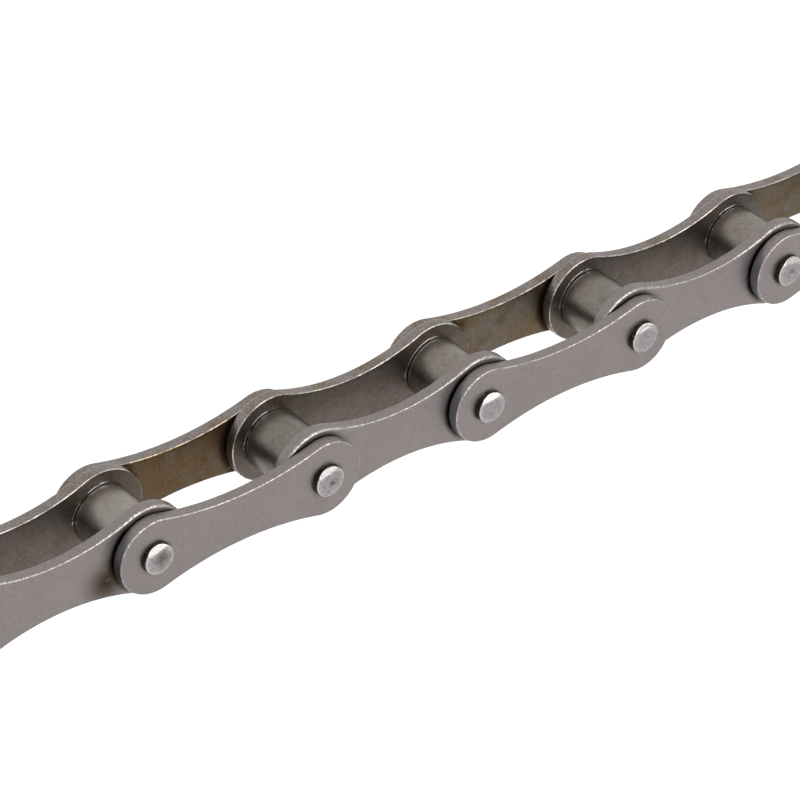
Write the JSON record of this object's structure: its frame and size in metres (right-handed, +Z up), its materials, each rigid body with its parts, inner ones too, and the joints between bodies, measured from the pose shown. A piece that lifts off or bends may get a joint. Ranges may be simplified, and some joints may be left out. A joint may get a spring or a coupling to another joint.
{
  "type": "double pitch roller chain",
  "caption": "Straight strand of double pitch roller chain with figure eight plates, riveted pins, bushings and small turning rollers; inner links at both ends for a connecting link.",
  "frame": {"origin": "middle of the strand, half-way between the two outermost joint centres, on the line through the pin centres and midway between the near and far plates", "axes": "+X along the straight strand, +Y along the pins from the near to the far plates, +Z up along the height of the plates"},
  "size_m": [0.2372, 0.0202, 0.0148],
  "materials": {
    "inner_plate": "tumbled and lightly oiled mill steel, satin, with a thin bright line along the blanked edges",
    "outer_plate": "tumbled and lightly oiled mill steel, satin, with a golden oil film on the inner faces",
    "pin": "bright hardened steel with rounded, riveted heads",
    "bushing": "dark satin case-hardened steel",
    "roller": "satin turned steel with an oil film"
  },
  "bodies": {
    "outer_link_2": {"outer_link_2_near_plate": "outer_plate", "outer_link_2_far_plate": "outer_plate", "pin_4": "pin", "pin_5": "pin"},
    "inner_link_1": {"inner_link_1_near_plate": "inner_plate", "inner_link_1_far_plate": "inner_plate", "bushing_1": "bushing", "bushing_2": "bushing"},
    "inner_link_2": {"inner_link_2_near_plate": "inner_plate", "inner_link_2_far_plate": "inner_plate", "bushing_3": "bushing", "bushing_4": "bushing"},
    "inner_link_3": {"inner_link_3_near_plate": "inner_plate", "inner_link_3_far_plate": "inner_plate", "bushing_5": "bushing", "bushing_6": "bushing"},
    "inner_link_4": {"inner_link_4_near_plate": "inner_plate", "inner_link_4_far_plate": "inner_plate", "bushing_7": "bushing", "bushing_8": "bushing"},
    "outer_link_1": {"outer_link_1_near_plate": "outer_plate", "outer_link_1_far_plate": "outer_plate", "pin_2": "pin", "pin_3": "pin"},
    "outer_link_3": {"outer_link_3_near_plate": "outer_plate", "outer_link_3_far_plate": "outer_plate", "pin_6": "pin", "pin_7": "pin"},
    "turning_roller_1": {"roller_1": "roller"},
    "turning_roller_2": {"roller_2": "roller"},
    "turning_roller_3": {"roller_3": "roller"},
    "turning_roller_4": {"roller_4": "roller"},
    "turning_roller_5": {"roller_5": "roller"},
    "turning_roller_6": {"roller_6": "roller"},
    "turning_roller_7": {"roller_7": "roller"},
    "turning_roller_8": {"roller_8": "roller"}
  },
  "joints": [
    {"name": "hinge_4", "type": "hinge", "parent": "outer_link_2", "child": "inner_link_2", "pos_m": [-0.01588, 0, 0], "axis": [0, 1, 0], "range_deg": [-45, 45]},
    {"name": "hinge_3", "type": "hinge", "parent": "inner_link_2", "child": "outer_link_1", "pos_m": [-0.04763, 0, 0], "axis": [0, 1, 0], "range_deg": [-45, 45]},
    {"name": "hinge_2", "type": "hinge", "parent": "outer_link_1", "child": "inner_link_1", "pos_m": [-0.07938, 0, 0], "axis": [0, 1, 0], "range_deg": [-45, 45]},
    {"name": "hinge_5", "type": "hinge", "parent": "outer_link_2", "child": "inner_link_3", "pos_m": [0.01588, 0, 0], "axis": [0, -1, 0], "range_deg": [-45, 45]},
    {"name": "hinge_6", "type": "hinge", "parent": "inner_link_3", "child": "outer_link_3", "pos_m": [0.04763, 0, 0], "axis": [0, -1, 0], "range_deg": [-45, 45]},
    {"name": "hinge_7", "type": "hinge", "parent": "outer_link_3", "child": "inner_link_4", "pos_m": [0.07938, 0, 0], "axis": [0, -1, 0], "range_deg": [-45, 45]},
    {"name": "roller_spin_1", "type": "hinge", "parent": "inner_link_1", "child": "turning_roller_1", "pos_m": [-0.11113, 0, 0], "axis": [0, 1, 0], "continuous": true},
    {"name": "roller_spin_2", "type": "hinge", "parent": "inner_link_1", "child": "turning_roller_2", "pos_m": [-0.07938, 0, 0], "axis": [0, 1, 0], "continuous": true},
    {"name": "roller_spin_3", "type": "hinge", "parent": "inner_link_2", "child": "turning_roller_3", "pos_m": [-0.04763, 0, 0], "axis": [0, 1, 0], "continuous": true},
    {"name": "roller_spin_4", "type": "hinge", "parent": "inner_link_2", "child": "turning_roller_4", "pos_m": [-0.01588, 0, 0], "axis": [0, 1, 0], "continuous": true},
    {"name": "roller_spin_5", "type": "hinge", "parent": "inner_link_3", "child": "turning_roller_5", "pos_m": [0.01588, 0, 0], "axis": [0, 1, 0], "continuous": true},
    {"name": "roller_spin_6", "type": "hinge", "parent": "inner_link_3", "child": "turning_roller_6", "pos_m": [0.04763, 0, 0], "axis": [0, 1, 0], "continuous": true},
    {"name": "roller_spin_7", "type": "hinge", "parent": "inner_link_4", "child": "turning_roller_7", "pos_m": [0.07938, 0, 0], "axis": [0, 1, 0], "continuous": true},
    {"name": "roller_spin_8", "type": "hinge", "parent": "inner_link_4", "child": "turning_roller_8", "pos_m": [0.11113, 0, 0], "axis": [0, 1, 0], "continuous": true}
  ]
}
